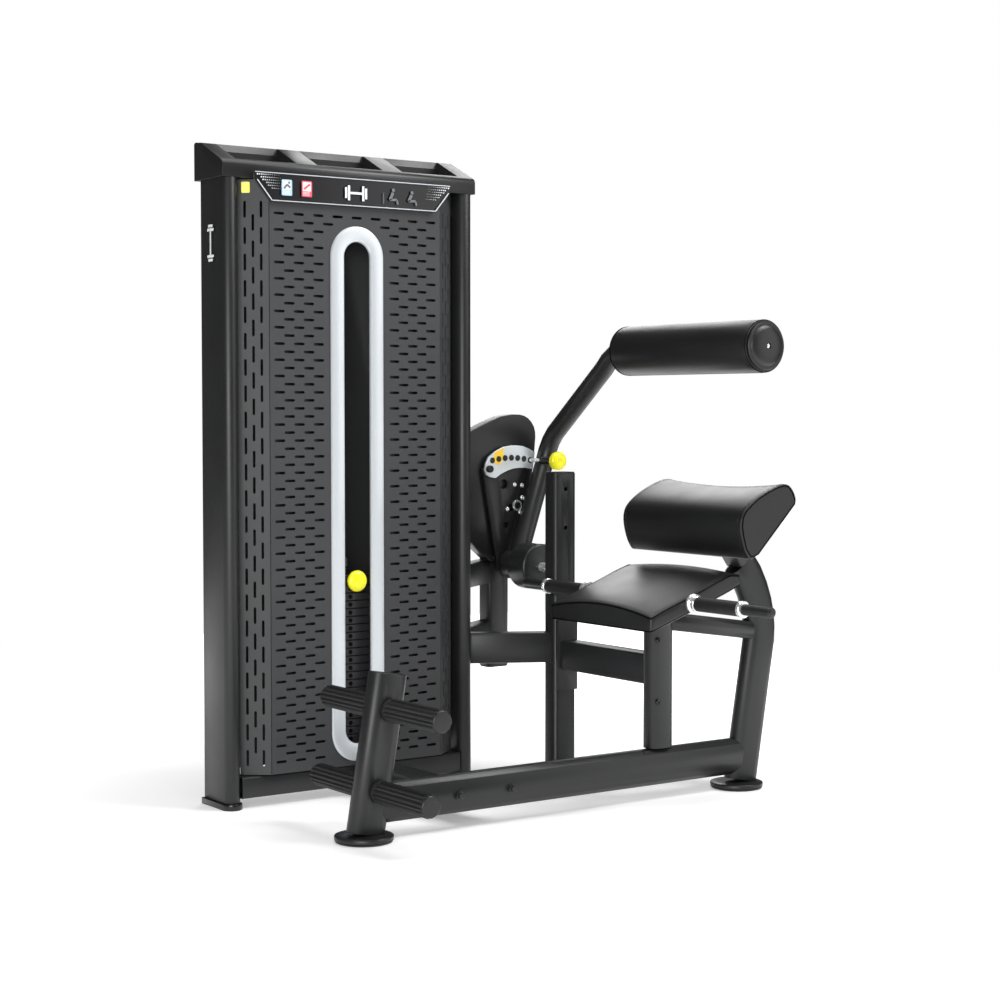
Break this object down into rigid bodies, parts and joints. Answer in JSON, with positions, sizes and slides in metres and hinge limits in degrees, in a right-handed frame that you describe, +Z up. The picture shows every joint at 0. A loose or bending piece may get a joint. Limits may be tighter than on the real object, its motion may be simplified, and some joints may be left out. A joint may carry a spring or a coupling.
{
  "type": "ab crunch machine",
  "caption": "Seated ab crunch machine: weight tower, padded seat and back pad, foot rollers, and an arm with a roller pad that swings forward and lifts the stack by cable.",
  "frame": {"origin": "centre of the footprint box, on the floor", "axes": "+Z up; +X from the foot rollers towards the seat's rear leg, along the tower's front; +Y away from the seat, towards the tower's back"},
  "size_m": [1.3105, 1.218, 1.583],
  "materials": {
    "frame_paint": "satin charcoal powder coat",
    "shroud_paint": "fine textured dark grey powder coat",
    "trim_silver": "satin",
    "gloss_black": "gloss",
    "pad_leather": "fine grained upholstery leather",
    "rubber_black": "matt ribbed",
    "knob_yellow": "satin",
    "chrome": "polished",
    "stack_steel": "satin black",
    "cover_black": "satin black",
    "cable_black": "nylon coated"
  },
  "bodies": {
    "frame": {"tower_upright_left": "frame_paint", "tower_upright_right": "frame_paint", "tower_base_beam": "frame_paint", "tower_top_beam": "frame_paint", "rear_cross_bar": "frame_paint", "front_tube": "frame_paint", "main_beam": "frame_paint", "rear_leg": "frame_paint", "connector_beam": "frame_paint", "seat_post": "frame_paint", "seat_beam": "frame_paint", "cross_beam": "frame_paint", "back_pad_bracket": "frame_paint", "pivot_post": "frame_paint", "bearing_post": "frame_paint", "brace_near": "frame_paint", "brace_far_upper": "frame_paint", "brace_far_lower": "frame_paint", "front_shroud": "shroud_paint", "rear_shroud": "shroud_paint", "slot_trim": "trim_silver", "tower_foot_left": "gloss_black", "tower_foot_right": "gloss_black", "header_panel": "gloss_black", "front_foot": "gloss_black", "rear_foot": "gloss_black", "seat_pad": "pad_leather", "back_pad": "pad_leather", "foot_roller_upper_near": "rubber_black", "foot_roller_upper_far": "rubber_black", "foot_roller_lower_near": "rubber_black", "foot_roller_lower_far": "rubber_black", "handle_grip_near": "rubber_black", "handle_grip_far": "rubber_black", "guide_rod_left": "chrome", "guide_rod_right": "chrome", "foot_peg_upper": "chrome", "foot_peg_lower": "chrome", "handle_bar_near": "chrome", "handle_bar_far": "chrome", "pivot_shaft": "chrome", "weight_stack": "stack_steel", "top_cap": "cover_black", "cam_cover": "cover_black", "lift_cable": "cable_black", "drive_cable": "cable_black"},
    "cam": {"cam_sector": "cover_black", "rom_plate": "trim_silver", "cable_cam": "frame_paint"},
    "arm": {"swing_arm": "frame_paint", "pivot_drum": "frame_paint", "roller_axle": "chrome"},
    "pop_pin": {"pop_pin": "knob_yellow"},
    "roller": {"roller_pad": "pad_leather"},
    "lifted_stack": {"top_plate": "stack_steel", "selector_rod": "chrome"},
    "selector_pin": {"selector_pin": "knob_yellow"},
    "top_pulley": {"top_pulley": "cover_black"},
    "turn_pulley": {"turn_pulley": "cover_black"},
    "cam_pulley": {"cam_pulley": "cover_black"}
  },
  "joints": [
    {"name": "cam_swing", "type": "hinge", "parent": "frame", "child": "cam", "pos_m": [0.2955, 0.469, 0.534], "axis": [0, -1, 0], "range_deg": [0, 30]},
    {"name": "arm_start", "type": "hinge", "parent": "cam", "child": "arm", "pos_m": [0.2955, 0.469, 0.534], "axis": [0, -1, 0], "range_deg": [0, 9]},
    {"name": "pop_pin_pull", "type": "slide", "parent": "arm", "child": "pop_pin", "axis": [0, -1, 0], "range_m": [0, 0.012], "stiffness_N_per_m": 600, "springref_m": -0.004},
    {"name": "roller_spin", "type": "hinge", "parent": "arm", "child": "roller", "pos_m": [0.3845, -0.141, 1.097], "axis": [0, 1, 0], "continuous": true},
    {"name": "stack_lift", "type": "slide", "parent": "frame", "child": "lifted_stack", "axis": [0, 0, 1], "range_m": [0, 0.142], "deforming": ["lift_cable"]},
    {"name": "selector_pull", "type": "slide", "parent": "lifted_stack", "child": "selector_pin", "axis": [0, -1, 0], "range_m": [0, 0.08]},
    {"name": "top_pulley_spin", "type": "hinge", "parent": "frame", "child": "top_pulley", "pos_m": [-0.3005, 0.433, 1.425], "axis": [-1, 0, 0], "range_deg": [0, 170]},
    {"name": "turn_pulley_spin", "type": "hinge", "parent": "frame", "child": "turn_pulley", "pos_m": [-0.2555, 0.524, 0.79], "axis": [0, -1, 0], "range_deg": [0, 180]},
    {"name": "cam_pulley_spin", "type": "hinge", "parent": "frame", "child": "cam_pulley", "pos_m": [0.334, 0.53, 0.877], "axis": [0, 1, 0], "range_deg": [0, 180]}
  ],
  "couplings": [
    {"joint": "stack_lift", "follows": "cam_swing", "m_per_rad": 0.27},
    {"joint": "top_pulley_spin", "follows": "cam_swing", "ratio": 5.2941},
    {"joint": "turn_pulley_spin", "follows": "cam_swing", "ratio": 5.8315},
    {"joint": "cam_pulley_spin", "follows": "cam_swing", "ratio": 5.8315}
  ]
}
